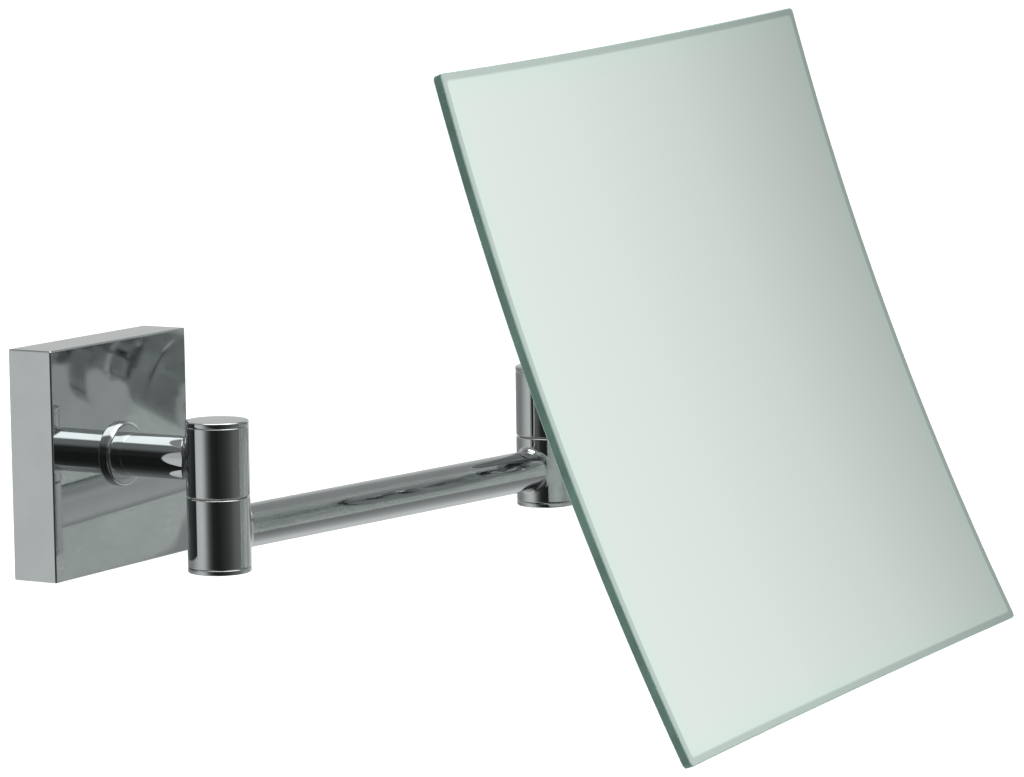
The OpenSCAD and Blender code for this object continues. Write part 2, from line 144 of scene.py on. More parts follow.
# stainless steel, turned: satin grey with fine tool lines that break up its shine
steelLook = {"tone": "#A9AAAB", "darkTone": "#8E9092", "smooth": 0.22, "rough": 0.38,
             "lineSize": 0.45, "lineDepth": 0.006}


def turnedStainless():
    look = steelLook
    finish, tree, place = startFinish("stainless steel, turned")
    lines = addNode(tree, "ShaderNodeTexNoise",
                    {"Scale": perMm(look["lineSize"]), "Detail": 3, "Roughness": 0.6},
                    {"Vector": place})
    tone = addNode(tree, "ShaderNodeMix",
                   {"data_type": "RGBA", 6: hexColour(look["darkTone"]),
                    7: hexColour(look["tone"])},
                   {0: lines.outputs["Fac"]})
    rough = addNode(tree, "ShaderNodeMapRange",
                    {"From Min": 0.3, "From Max": 0.7, "To Min": look["smooth"],
                     "To Max": look["rough"]}, {"Value": lines.outputs["Fac"]})
    relief = addNode(tree, "ShaderNodeBump", {"Distance": look["lineDepth"] * mm},
                     {"Height": lines.outputs["Fac"]})
    shader = addNode(tree, "ShaderNodeBsdfPrincipled", {"Metallic": 1.0},
                     {"Base Color": tone.outputs[2], "Roughness": rough.outputs[0],
                      "Normal": relief.outputs[0]})
    addNode(tree, "ShaderNodeOutputMaterial", {}, {"Surface": shader.outputs[0]})
    return finish


# zinc plated steel, pressed: dull silver with spangle and a faint warm passivation cast
zincLook = {"tone": "#A8ACB2", "castTone": "#B3AE9C", "smooth": 0.28, "rough": 0.45,
            "spangleSize": 3.5, "castSize": 12, "grainSize": 0.5, "grainDepth": 0.008}


def zincPlatedSheet():
    look = zincLook
    finish, tree, place = startFinish("zinc plated steel, pressed")
    spangle = addNode(tree, "ShaderNodeTexVoronoi", {"Scale": perMm(look["spangleSize"])},
                      {"Vector": place})
    cast = addNode(tree, "ShaderNodeTexNoise", {"Scale": perMm(look["castSize"])},
                   {"Vector": place})
    share = addNode(tree, "ShaderNodeMapRange", {"From Min": 0.4, "From Max": 0.7, "To Max": 0.7},
                    {"Value": cast.outputs["Fac"]})
    tone = addNode(tree, "ShaderNodeMix",
                   {"data_type": "RGBA", 6: hexColour(look["tone"]),
                    7: hexColour(look["castTone"])},
                   {0: share.outputs[0]})
    rough = addNode(tree, "ShaderNodeMapRange", {"To Min": look["smooth"], "To Max": look["rough"]},
                    {"Value": spangle.outputs["Color"]})
    grain = addNode(tree, "ShaderNodeTexNoise", {"Scale": perMm(look["grainSize"])},
                    {"Vector": place})
    relief = addNode(tree, "ShaderNodeBump", {"Distance": look["grainDepth"] * mm},
                     {"Height": grain.outputs["Fac"]})
    shader = addNode(tree, "ShaderNodeBsdfPrincipled", {"Metallic": 1.0},
                     {"Base Color": tone.outputs[2], "Roughness": rough.outputs[0],
                      "Normal": relief.outputs[0]})
    addNode(tree, "ShaderNodeOutputMaterial", {}, {"Surface": shader.outputs[0]})
    return finish


# nylon, moulded: milky white with a soft sheen and a spark-eroded grain
nylonLook = {"tone": "#E6E4DA", "shadeTone": "#D9D6CA", "smooth": 0.38, "rough": 0.5,
             "cloudSize": 6, "grainSize": 0.4, "grainDepth": 0.01}


def mouldedNylon():
    look = nylonLook
    finish, tree, place = startFinish("nylon, moulded")
    cloud = addNode(tree, "ShaderNodeTexNoise", {"Scale": perMm(look["cloudSize"])},
                    {"Vector": place})
    share = addNode(tree, "ShaderNodeMapRange", {"From Min": 0.35, "From Max": 0.65},
                    {"Value": cloud.outputs["Fac"]})
    tone = addNode(tree, "ShaderNodeMix",
                   {"data_type": "RGBA", 6: hexColour(look["tone"]),
                    7: hexColour(look["shadeTone"])},
                   {0: share.outputs[0]})
    grain = addNode(tree, "ShaderNodeTexNoise", {"Scale": perMm(look["grainSize"])},
                    {"Vector": place})
    rough = addNode(tree, "ShaderNodeMapRange",
                    {"From Min": 0.3, "From Max": 0.7, "To Min": look["smooth"],
                     "To Max": look["rough"]}, {"Value": grain.outputs["Fac"]})
    relief = addNode(tree, "ShaderNodeBump", {"Distance": look["grainDepth"] * mm},
                     {"Height": grain.outputs["Fac"]})
    shader = addNode(tree, "ShaderNodeBsdfPrincipled",
                     {"IOR": 1.53, "Subsurface Weight": 0.08, "Subsurface Radius": (1, 0.9, 0.8),
                      "Subsurface Scale": 0.001},
                     {"Base Color": tone.outputs[2], "Roughness": rough.outputs[0],
                      "Normal": relief.outputs[0]})
    addNode(tree, "ShaderNodeOutputMaterial", {}, {"Surface": shader.outputs[0]})
    return finish


# closed-cell foam, cut: matt charcoal with open cells on its cut rim
foamLook = {"tone": "#2A2B2D", "cellTone": "#1B1C1E", "cellSize": 0.35, "cellDepth": 0.08}


def closedCellFoam():
    look = foamLook
    finish, tree, place = startFinish("closed-cell foam, cut")
    cells = addNode(tree, "ShaderNodeTexVoronoi", {"Scale": perMm(look["cellSize"])},
                    {"Vector": place}).outputs["Distance"]
    share = addNode(tree, "ShaderNodeMapRange", {"From Min": 0.1, "From Max": 0.6},
                    {"Value": cells})
    tone = addNode(tree, "ShaderNodeMix",
                   {"data_type": "RGBA", 6: hexColour(look["cellTone"]),
                    7: hexColour(look["tone"])},
                   {0: share.outputs[0]})
    rough = addNode(tree, "ShaderNodeMapRange", {"From Max": 0.7, "To Min": 0.95, "To Max": 0.8},
                    {"Value": cells})
    relief = addNode(tree, "ShaderNodeBump", {"Distance": look["cellDepth"] * mm},
                     {"Height": cells})
    shader = addNode(tree, "ShaderNodeBsdfPrincipled", {"IOR": 1.45},
                     {"Base Color": tone.outputs[2], "Roughness": rough.outputs[0],
                      "Normal": relief.outputs[0]})
    addNode(tree, "ShaderNodeOutputMaterial", {}, {"Surface": shader.outputs[0]})
    return finish


# float glass, silvered: a clear reflection with a faint green cast, and near the rim a painted
# reflection of the
# ground edge seen through the glass: a dull line, and a painted mint tint just inside that
silverLook = {"tone": "#EAF1ED", "paintedMintBandTone": "#E3F3EB", "paintedEdgeLineTone": "#C3D0CA", "line": 1.9,
              "paintedLineFade": 2.6, "paintedBandEnd": 9, "clear": 0.006, "wiped": 0.03, "wipeSize": 22,
              "wipeStretch": (1, 1, 0.2), "glassSize": 200, "corner": 0.01}


def silveredFace():
    look = silverLook
    finish, tree, place = startFinish("mirror glass, silvered")
    across = addNode(tree, "ShaderNodeUVMap", {"uv_map": "across glass"}).outputs[0]
    inside = addNode(tree, "ShaderNodeSeparateXYZ", {}, {"Vector": across})
    fromSide = addNode(tree, "ShaderNodeMath", {"operation": "PINGPONG", 1: 0.5},
                       {0: inside.outputs["X"]})
    fromEnd = addNode(tree, "ShaderNodeMath", {"operation": "PINGPONG", 1: 0.5},
                      {0: inside.outputs["Y"]})
    nearest = addNode(tree, "ShaderNodeMath", {"operation": "SMOOTH_MIN", 2: look["corner"]},
                      {0: fromSide.outputs[0], 1: fromEnd.outputs[0]})
    share = addNode(tree, "ShaderNodeMapRange", {"From Max": look["paintedBandEnd"] / look["glassSize"]},
                    {"Value": nearest.outputs[0]})
    # painted reflection: a dull line at the rim and a mint band inside it stand in for the ground
    # edge seen through the glass
    tone = addNode(tree, "ShaderNodeValToRGB", {}, {"Fac": share.outputs[0]},
                   [(0, hexColour(look["paintedEdgeLineTone"])),
                    (look["line"] / look["paintedBandEnd"], hexColour(look["paintedEdgeLineTone"])),
                    (look["paintedLineFade"] / look["paintedBandEnd"], hexColour(look["paintedMintBandTone"])),
                    (1, hexColour(look["tone"]))])
    wiped = addNode(tree, "ShaderNodeMapping", {"Scale": look["wipeStretch"]}, {"Vector": place})
    wipes = addNode(tree, "ShaderNodeTexNoise", {"Scale": perMm(look["wipeSize"]), "Detail": 3},
                    {"Vector": wiped.outputs[0]})
    rough = addNode(tree, "ShaderNodeMapRange",
                    {"From Min": 0.45, "From Max": 0.75, "To Min": look["clear"],
                     "To Max": look["wiped"]}, {"Value": wipes.outputs["Fac"]})
    shader = addNode(tree, "ShaderNodeBsdfPrincipled", {"Metallic": 1.0},
                     {"Base Color": tone.outputs[0], "Roughness": rough.outputs[0]})
    addNode(tree, "ShaderNodeOutputMaterial", {}, {"Surface": shader.outputs[0]})
    return finish


# float glass, ground and polished on its edge: deep bottle green, as light comes along the sheet
edgeLook = {"tone": "#5A7A6F", "deepTone": "#466259", "smooth": 0.12, "rough": 0.3,
            "cloudSize": 14, "grindSize": 1.2, "grindDepth": 0.004}


def polishedEdge():
    look = edgeLook
    finish, tree, place = startFinish("mirror glass, polished edge")
    cloud = addNode(tree, "ShaderNodeTexNoise", {"Scale": perMm(look["cloudSize"])},
                    {"Vector": place})
    share = addNode(tree, "ShaderNodeMapRange", {"From Min": 0.35, "From Max": 0.65},
                    {"Value": cloud.outputs["Fac"]})
    tone = addNode(tree, "ShaderNodeMix",
                   {"data_type": "RGBA", 6: hexColour(look["tone"]),
                    7: hexColour(look["deepTone"])},
                   {0: share.outputs[0]})
    grind = addNode(tree, "ShaderNodeTexNoise",
                    {"Scale": perMm(look["grindSize"]), "Detail": 3, "Roughness": 0.6},
                    {"Vector": place})
    rough = addNode(tree, "ShaderNodeMapRange",
                    {"From Min": 0.3, "From Max": 0.7, "To Min": look["smooth"],
                     "To Max": look["rough"]}, {"Value": grind.outputs["Fac"]})
    relief = addNode(tree, "ShaderNodeBump", {"Distance": look["grindDepth"] * mm},
                     {"Height": grind.outputs["Fac"]})
    shader = addNode(tree, "ShaderNodeBsdfPrincipled", {"IOR": 1.52},
                     {"Base Color": tone.outputs[2], "Roughness": rough.outputs[0],
                      "Normal": relief.outputs[0]})
    addNode(tree, "ShaderNodeOutputMaterial", {}, {"Surface": shader.outputs[0]})
    return finish


# float glass, its arris ground: frosted, so a little lighter than the edge
arrisLook = {"tone": "#9DB3AA", "deepTone": "#859E94", "smooth": 0.3, "rough": 0.5,
             "gritSize": 0.5, "gritDepth": 0.006}


def groundArris():
    look = arrisLook
    finish, tree, place = startFinish("mirror glass, ground arris")
    grit = addNode(tree, "ShaderNodeTexNoise",  # real grit is about 0.05 mm, too fine to show
                   {"Scale": perMm(look["gritSize"]), "Detail": 3, "Roughness": 0.6},
                   {"Vector": place})
    tone = addNode(tree, "ShaderNodeMix",
                   {"data_type": "RGBA", 6: hexColour(look["tone"]),
                    7: hexColour(look["deepTone"])},
                   {0: grit.outputs["Fac"]})
    rough = addNode(tree, "ShaderNodeMapRange",
                    {"From Min": 0.3, "From Max": 0.7, "To Min": look["smooth"],
                     "To Max": look["rough"]}, {"Value": grit.outputs["Fac"]})
    relief = addNode(tree, "ShaderNodeBump", {"Distance": look["gritDepth"] * mm},
                     {"Height": grit.outputs["Fac"]})
    shader = addNode(tree, "ShaderNodeBsdfPrincipled", {"IOR": 1.52},
                     {"Base Color": tone.outputs[2], "Roughness": rough.outputs[0],
                      "Normal": relief.outputs[0]})
    addNode(tree, "ShaderNodeOutputMaterial", {}, {"Surface": shader.outputs[0]})
    return finish


# mirror backing, silver-grey paint, sprayed: a satin metallic grey with soft blurred reflections
backingLook = {"tone": "#D2D8D5", "shadeTone": "#C9CFCC", "smooth": 0.22, "rough": 0.28,
               "cloudSize": 45, "flakeSize": 0.6, "peelSize": 2.2, "peelDepth": 0.005}


def backingPaint():
    look = backingLook
    finish, tree, place = startFinish("mirror backing, silver-grey paint")
    cloud = addNode(tree, "ShaderNodeTexNoise", {"Scale": perMm(look["cloudSize"]), "Detail": 3},
                    {"Vector": place})
    share = addNode(tree, "ShaderNodeMapRange", {"From Min": 0.35, "From Max": 0.65},
                    {"Value": cloud.outputs["Fac"]})
    tone = addNode(tree, "ShaderNodeMix",
                   {"data_type": "RGBA", 6: hexColour(look["tone"]),
                    7: hexColour(look["shadeTone"])},
                   {0: share.outputs[0]})
    flakes = addNode(tree, "ShaderNodeTexVoronoi",  # real flakes, 0.02 mm, are too fine to show
                     {"Scale": perMm(look["flakeSize"])}, {"Vector": place})
    rough = addNode(tree, "ShaderNodeMapRange", {"To Min": look["smooth"], "To Max": look["rough"]},
                    {"Value": flakes.outputs["Color"]})
    peel = addNode(tree, "ShaderNodeTexNoise", {"Scale": perMm(look["peelSize"])},
                   {"Vector": place})
    relief = addNode(tree, "ShaderNodeBump", {"Distance": look["peelDepth"] * mm},
                     {"Height": peel.outputs["Fac"]})
    shader = addNode(tree, "ShaderNodeBsdfPrincipled", {"Metallic": 0.75, "IOR": 1.5},
                     {"Base Color": tone.outputs[2], "Roughness": rough.outputs[0],
                      "Normal": relief.outputs[0]})
    addNode(tree, "ShaderNodeOutputMaterial", {}, {"Surface": shader.outputs[0]})
    return finish


chrome = chromePlatedBrass()
steel = turnedStainless()
zinc = zincPlatedSheet()
nylon = mouldedNylon()
foam = closedCellFoam()
silver = silveredFace()
glassEdge = polishedEdge()
arris = groundArris()
backing = backingPaint()
print("finishes made")

# shaping is in millimetres about a local axis, and newPiece puts it in its place in metres
fine = {"sameRing": 1e-3, "doubles": 1e-4, "roundSteps": 4, "deburrSteps": 2, "crease": 30}


def turned(corners, steps, closed=True):
    # spins a line of (radius, height, round) corners about z, then rounds the corners that say so
    bm = bmesh.new()
    line = [bm.verts.new((radius, 0, height)) for radius, height, _ in corners]
    pairs = list(zip(line, line[1:])) + ([(line[-1], line[0])] if closed else [])
    edges = [bm.edges.new(pair) for pair in pairs]
    bmesh.ops.spin(bm, geom=line + edges, cent=(0, 0, 0), axis=(0, 0, 1), angle=math.tau,
                   steps=steps, use_merge=True)
    bmesh.ops.remove_doubles(bm, verts=bm.verts, dist=fine["doubles"])
    bmesh.ops.recalc_face_normals(bm, faces=bm.faces)
    for radius, height, size in corners:
        if size:
            roundEdges(bm, ringAt(bm, radius, height), size, fine["roundSteps"])
    return bm


def ringAt(bm, radius, height):
    def onRing(v):
        return (abs(math.hypot(v.co.x, v.co.y) - radius) < fine["sameRing"]
                and abs(v.co.z - height) < fine["sameRing"])
    return [e for e in bm.edges if onRing(e.verts[0]) and onRing(e.verts[1])]


def roundEdges(bm, edges, size, steps):
    bmesh.ops.bevel(bm, geom=edges, offset=size, offset_type="OFFSET", affect="EDGES",
                    segments=steps, profile=0.5, material=-1, clamp_overlap=True)


def roundTool(radius, length, steps):  # a round cutter along z, centred on its own middle
    tool = bmesh.new()
    bmesh.ops.create_cone(tool, cap_ends=True, segments=steps, radius1=radius, radius2=radius,
                          depth=length)
    return tool


def cutOut(bm, tool):  # boolean cut of one closed mesh from another
    solids = []
    for name, part in (("solid", bm), ("tool", tool)):
        mesh = bpy.data.meshes.new(name)
        part.to_mesh(mesh)
        part.free()
        solids.append(bpy.data.objects.new(name, mesh))
        scene.collection.objects.link(solids[-1])
    cut = solids[0].modifiers.new("cut", "BOOLEAN")
    cut.operation, cut.solver, cut.object = "DIFFERENCE", "EXACT", solids[1]
    result = bmesh.new()
    result.from_object(solids[0], bpy.context.evaluated_depsgraph_get())
    for solid in solids:
        bpy.data.objects.remove(solid)
    return result


def plateScrewTools(corners):  # one turned tool on each of the back plate's three screws
    tools = []
    for i in range(screws["count"]):
        tool = turned(corners, screws["steps"], closed=False)
        angle = math.radians(screws["first"] + 360 * i / screws["count"])
        across = Vector((math.cos(angle), math.sin(angle), 0)) * screws["ring"]
        bmesh.ops.translate(tool, vec=across, verts=tool.verts)
        tools.append(tool)
    return tools


def newPiece(name, bm, place, body, node, finishes, crease=fine["crease"]):
    bmesh.ops.transform(bm, matrix=place @ Matrix.Scale(mm, 4), verts=bm.verts)
    mesh = bpy.data.meshes.new(name)
    bm.to_mesh(mesh)
    bm.free()
    for finish in finishes:
        mesh.materials.append(finish)
    mesh.shade_smooth()
    mesh.set_sharp_from_angle(angle=math.radians(crease))
    piece = bpy.data.objects.new(name, mesh)
    scene.collection.objects.link(piece)
    flatten = piece.modifiers.new("weighted normals", "WEIGHTED_NORMAL")
    flatten.keep_sharp = True
    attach(piece, body)
    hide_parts(node)


# wall rose: a hollow square cover with one hole for the stub's screw and one for the grub screw
rose = {"size": 63.5, "depth": 14, "wall": 2.5, "front": 3, "edge": 0.5, "deburr": 0.15,
        "grubHole": 4, "grubFromWall": 6, "stubHole": 6.4, "cutter": 6,
        "cutterSink": 1, "holeSteps": 64}


def wallRose():
    bm = bmesh.new()
    bmesh.ops.create_cube(bm, size=1)
    bmesh.ops.scale(bm, vec=(rose["size"], rose["size"], rose["depth"]), verts=bm.verts)
    bmesh.ops.translate(bm, vec=(0, 0, rose["depth"] / 2), verts=bm.verts)  # z runs out of the wall
    back = min(bm.faces, key=lambda f: f.calc_center_median().z)
    bmesh.ops.inset_region(bm, faces=[back], thickness=rose["wall"], use_even_offset=True)
    hollow = bmesh.ops.extrude_face_region(bm, geom=[back])
    floorVerts = [v for v in hollow["geom"] if isinstance(v, bmesh.types.BMVert)]
    bmesh.ops.translate(bm, vec=(0, 0, rose["depth"] - rose["front"]), verts=floorVerts)
    if back.is_valid:  # the face the hollow was pushed in from
        bmesh.ops.delete(bm, geom=[back], context="FACES")
    bmesh.ops.recalc_face_normals(bm, faces=bm.faces)
    half = rose["size"] / 2
    outer = [e for e in bm.edges
             if all(max(abs(v.co.x), abs(v.co.y)) > half - rose["deburr"] for v in e.verts)
             and max(v.co.z for v in e.verts) > rose["deburr"]]
    roundEdges(bm, outer, rose["edge"], fine["roundSteps"])
    rims = [e for e in bm.edges
            if all(v.co.z < fine["doubles"] for v in e.verts) and e.calc_face_angle(0) > 1]
    roundEdges(bm, rims, rose["deburr"], fine["deburrSteps"])
    stubHole = roundTool(rose["stubHole"] / 2, rose["cutter"], rose["holeSteps"])
    bmesh.ops.translate(stubHole, vec=(0, 0, rose["depth"] - rose["front"] / 2),
                        verts=stubHole.verts)
    bm = cutOut(bm, stubHole)
    grubHole = roundTool(rose["grubHole"] / 2, rose["cutter"], rose["holeSteps"])
    throughSide = Matrix.Translation((0, rose["cutterSink"] - half, rose["grubFromWall"]))
    bmesh.ops.transform(grubHole, matrix=throughSide @ Matrix.Rotation(-math.pi / 2, 4, "X"),
                        verts=grubHole.verts)
    return cutOut(bm, grubHole)


newPiece("wall_rose_cover", wallRose(), alongWay(Vector((0, 0, 0)), outOfWall), "wall_mount",
         "wall_rose", [chrome])

bracket = {"thick": 2.5, "bend": 1.4, "bendSteps": 8, "deburr": 0.2, "slotWidth": 5.2,
           "slotLength": 9, "slotX": 18, "grubHole": 4.2, "grubFromWall": 6, "cutter": 10,
           "holeSteps": 48}


def foldedBracket():  # x across, y out of the wall, z up
    b = bracket
    low, high = (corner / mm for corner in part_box("wall_bracket"))
    bm = bmesh.new()
    bmesh.ops.create_cube(bm, size=1)
    bmesh.ops.scale(bm, vec=high - low, verts=bm.verts)
    bmesh.ops.translate(bm, vec=(low + high) / 2, verts=bm.verts)
    openSides = [f for f in bm.faces if f.normal.y < -0.5 or abs(f.normal.x) > 0.5]
    bmesh.ops.delete(bm, geom=openSides, context="FACES")
    bends = [e for e in bm.edges if len(e.link_faces) == 2]
    roundEdges(bm, bends, b["bend"] + b["thick"], b["bendSteps"])
    bmesh.ops.recalc_face_normals(bm, faces=bm.faces)
    backFace = max(bm.faces, key=lambda f: f.calc_area())
    if backFace.normal.y < 0:  # an open sheet can come out either way round
        bmesh.ops.reverse_faces(bm, faces=bm.faces)
    bmesh.ops.solidify(bm, geom=bm.faces[:], thickness=b["thick"])
    sheetEdges = [e for e in bm.edges if e.calc_face_angle(0) > 1.2]
    roundEdges(bm, sheetEdges, b["deburr"], fine["deburrSteps"])
    for side in (-1, 1):
        slot = roundTool(b["slotWidth"] / 2, b["cutter"], b["holeSteps"])
        stretch = (b["slotLength"] - b["slotWidth"]) / 2
        for v in slot.verts:  # a round cutter pulled out to a slot
            v.co.x += math.copysign(stretch, v.co.x) if abs(v.co.x) > fine["sameRing"] else 0
        place = Matrix.Translation((side * b["slotX"], 0, 0))
        bmesh.ops.transform(slot, matrix=place @ Matrix.Rotation(math.pi / 2, 4, "X"),
                            verts=slot.verts)
        bm = cutOut(bm, slot)
    grubHole = roundTool(b["grubHole"] / 2, b["cutter"], b["holeSteps"])
    bmesh.ops.translate(grubHole, vec=(0, -b["grubFromWall"], low.z), verts=grubHole.verts)
    return cutOut(bm, grubHole)


newPiece("wall_bracket_folded", foldedBracket(), Matrix(), "wall_mount",
         "wall_bracket", [zinc])

grub = {"radius": 2, "chamfer": 0.3, "socket": 1.15, "socketDepth": 2, "steps": 48}


def grubScrew():
    low, high = (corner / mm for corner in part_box("rose_grub_screw"))
    bm = turned([(0, low.z, 0), (grub["radius"], low.z, grub["chamfer"]),
                 (grub["radius"], high.z, grub["chamfer"]), (0, high.z, 0)],
                grub["steps"], closed=False)
    hexKey = roundTool(grub["socket"], 2 * grub["socketDepth"], 6)
    bmesh.ops.translate(hexKey, vec=(0, 0, low.z), verts=hexKey.verts)
    bm = cutOut(bm, hexKey)
    bmesh.ops.translate(bm, vec=(0, (low.y + high.y) / 2, 0), verts=bm.verts)
    return bm


newPiece("rose_grub_screw_hex", grubScrew(), Matrix(), "wall_mount",
         "rose_grub_screw", [steel])

# stub, collar, arm and neck: coped on to the barrels with a polished braze fillet
tube = {"radius": 6, "bore": 4.5, "steps": 96}
barrel = {"radius": 8.75, "bore": 3, "bushBore": 4.05, "cavity": 5.2, "headRoom": 6.5,
          "pocket": 2.5, "pocketRadius": 4.62, "bushDepth": 9, "edge": 0.35, "mouth": 0.1,
          "spigot": 1.8, "spigotEdge": 0.2, "crown": 0.12, "steps": 144,
          "crownRings": ((0.66, 0.4), (0.33, 0.1))}  # shares of the radius and of the crown
fillet = {"size": 1.5, "steps": 7, "bite": 0.04, "reach": 6}  # reach: last ring with the cope


def copedTube(length, copeStart, copeEnd, bore=0, endRound=0):
    # a tube along z between two barrel axes or plain ends, as a closed wall
    angles = [i * math.pi / 2 / fillet["steps"] for i in range(fillet["steps"] + 1)]
    foot = [(tube["radius"] + fillet["size"] * (1 - math.sin(a)),
             fillet["size"] * (1 - math.cos(a))) for a in angles]
    foot.append((tube["radius"], fillet["reach"]))
    start = [(r, z, 0) for r, z in foot] if copeStart else [(tube["radius"], 0, endRound)]
    end = [(tube["radius"], length, endRound)]
    if copeEnd:
        end = [(r, length - z, 0) for r, z in reversed(foot)]
    line = [(bore, 0, 0)] + start + end + [(bore, length, 0)]
    bm = turned(line, tube["steps"], closed=bore > 0)
    for v in bm.verts:  # push each end on to the barrel's surface, seen from its axis
        saddle = math.sqrt(max(barrel["radius"] ** 2 - v.co.x ** 2, 0)) - fillet["bite"]
        if copeStart and v.co.z < fillet["reach"] + 0.5:
            v.co.z += saddle
        if copeEnd and v.co.z > length - fillet["reach"] - 0.5:
            v.co.z -= saddle
    return bm


armZ = sum(corner.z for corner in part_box("swing_arm")) / 2
armLength = (endAxis - baseAxis).length / mm
newPiece("arm_tube", copedTube(armLength, True, True, tube["bore"]),
         alongWay(atHeight(baseAxis, armZ), armWay), "arm", "swing_arm", [chrome])

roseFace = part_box("wall_rose")[0].y
stubLength = (roseFace - baseAxis.y) / mm
stubFrame = alongWay(Vector((0, roseFace, 0)), outOfWall)
newPiece("stub_bar", copedTube(stubLength, False, True), stubFrame, "wall_mount",
         "wall_stub", [chrome])

collar = {"radius": 9, "height": 2, "round": 0.95, "footEdge": 0.1, "lip": 0.02}
bm = turned([(tube["radius"], 0, 0), (collar["radius"], 0, collar["footEdge"]),
             (collar["radius"], collar["height"], collar["round"]),
             (tube["radius"] + collar["lip"], collar["height"], 0)], tube["steps"])
newPiece("stub_foot_collar", bm, stubFrame, "wall_mount", "stub_collar", [chrome])

neck = {"end": 14.5, "edge": 0.8}
newPiece("neck_bar", copedTube(neck["end"], True, False, endRound=neck["edge"]),
         alongWay(endAxis, neckWay), "neck_body", "neck", [chrome])
print("rose, stub, arm and neck made")

# barrel hinges: an upper and a lower knuckle with a cap on each
def upperKnuckle(height):
    b = barrel
    seat = height - b["headRoom"]  # where the bolt's head rests
    return turned([(b["bore"], 0, b["mouth"]), (b["radius"], 0, b["edge"]),
                   (b["radius"], height, b["edge"]), (b["cavity"], height, b["mouth"]),
                   (b["cavity"], seat + b["pocket"], 0), (b["pocketRadius"], seat + b["pocket"], 0),
                   (b["pocketRadius"], seat, 0), (b["bore"], seat, 0)], b["steps"])


def lowerKnuckle(height):
    b = barrel
    bushFoot = height - b["bushDepth"]
    return turned([(b["cavity"], 0, b["mouth"]), (b["radius"], 0, b["edge"]),
                   (b["radius"], height, b["edge"]), (b["bushBore"], height, b["mouth"]),
                   (b["bushBore"], bushFoot, 0), (b["cavity"], bushFoot, 0)], b["steps"])


def barrelCap(height):  # spigot down, slightly crowned on top
    b = barrel
    crown = [(b["radius"] * out, height - b["crown"] * down, 0) for out, down in b["crownRings"]]
    return turned([(0, -b["spigot"], 0), (b["cavity"], -b["spigot"], b["spigotEdge"]),
                   (b["cavity"], 0, 0), (b["radius"], 0, b["edge"]),
                   (b["radius"], height - b["crown"], b["edge"])] + crown + [(0, height, 0)],
                  b["steps"], closed=False)


def hinge(prefix, axis, upperBody, lowerBody):
    flip = Matrix.Rotation(math.pi, 4, "X")
    upperLow, upperHigh = (corner.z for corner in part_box(prefix + "_upper_knuckle"))
    lowerLow, lowerHigh = (corner.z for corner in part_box(prefix + "_lower_knuckle"))
    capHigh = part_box(prefix + "_top_cap")[1].z
    knuckleHeight = (upperHigh - upperLow) / mm
    capHeight = (capHigh - upperHigh) / mm
    parts = (("upper_knuckle", "upper_knuckle", upperKnuckle(knuckleHeight), upperLow, upperBody),
             ("lower_knuckle", "lower_knuckle", lowerKnuckle(knuckleHeight), lowerLow, lowerBody),
             ("cap_top", "top_cap", barrelCap(capHeight), upperHigh, upperBody),
             ("cap_bottom", "bottom_cap", barrelCap(capHeight), lowerLow, lowerBody))
    for name, node, bm, height, body in parts:
        place = Matrix.Translation(atHeight(axis, height))
        newPiece(f"{prefix}_{name}_turned", bm, place @ flip if name == "cap_bottom" else place,
                 body, f"{prefix}_{node}", [chrome])


hinge("base", baseAxis, "wall_mount", "arm")
hinge("end", endAxis, "neck_body", "arm")
print("hinges made")

# mirror head: local z runs out of the glass, from the ball's centre
head = {"roll": 3}
acrossHead = -jointAxis["mirror_tilt"]
upHead = mirrorWay.cross(acrossHead)
headTurn = Matrix((acrossHead, upHead, mirrorWay)).transposed().to_4x4()
headFrame = (Matrix.Translation(ballCentre) @ headTurn
             @ Matrix.Rotation(math.radians(head["roll"]), 4, "Z"))

stud = {"ball": 8, "ballSteps": 40, "stem": 3.5, "rootRound": 0.8, "neckFace": 13.5, "steps": 96}


def ballStud():  # local z runs from the ball back to the neck
    root = math.acos(stud["stem"] / stud["ball"])
    turns = [-math.pi / 2 + (root + math.pi / 2) * i / stud["ballSteps"]
             for i in range(1, stud["ballSteps"] + 1)]
    arc = [(stud["ball"] * math.cos(a), stud["ball"] * math.sin(a), 0) for a in turns]
    arc[-1] = (arc[-1][0], arc[-1][1], stud["rootRound"])
    return turned([(0, -stud["ball"], 0)] + arc
                  + [(stud["stem"], stud["neckFace"], 0), (0, stud["neckFace"], 0)],
                  stud["steps"], closed=False)


newPiece("ball_stud_polished", ballStud(), alongWay(ballCentre, -neckWay), "neck_body",
         "ball_stud", [chrome])

housing = {"bore": 10.05, "nose": 11.8, "noseBack": -4.8, "noseFront": 4.3, "shoulder": 13.6,
           "shoulderRound": 1.2, "floor": 10.95, "waist": 9, "waistRound": 2.0, "cone": 5,
           "root": 1.5, "rootRound": 0.5, "flange": 20, "flangeBack": 23.5, "front": 27,
           "edge": 0.4, "mouth": 0.1, "noseEdge": 0.2, "steps": 128}


def socketHousing():
    h = housing
    return turned([(0, h["floor"], 0), (h["bore"], h["floor"], 0),
                   (h["bore"], h["noseBack"], h["mouth"]),
                   (h["nose"], h["noseBack"], h["noseEdge"]), (h["nose"], h["noseFront"], 0),
                   (h["shoulder"], h["noseFront"], h["edge"]),
                   (h["shoulder"], h["floor"], h["shoulderRound"]),
                   (h["waist"], h["floor"] + h["cone"], h["waistRound"]),
                   (h["waist"], h["flangeBack"] - h["root"], h["rootRound"]),
                   (h["waist"] + h["root"], h["flangeBack"], h["rootRound"]),
                   (h["flange"], h["flangeBack"], h["edge"]), (h["flange"], h["front"], h["mouth"]),
                   (0, h["front"], 0)], h["steps"], closed=False)


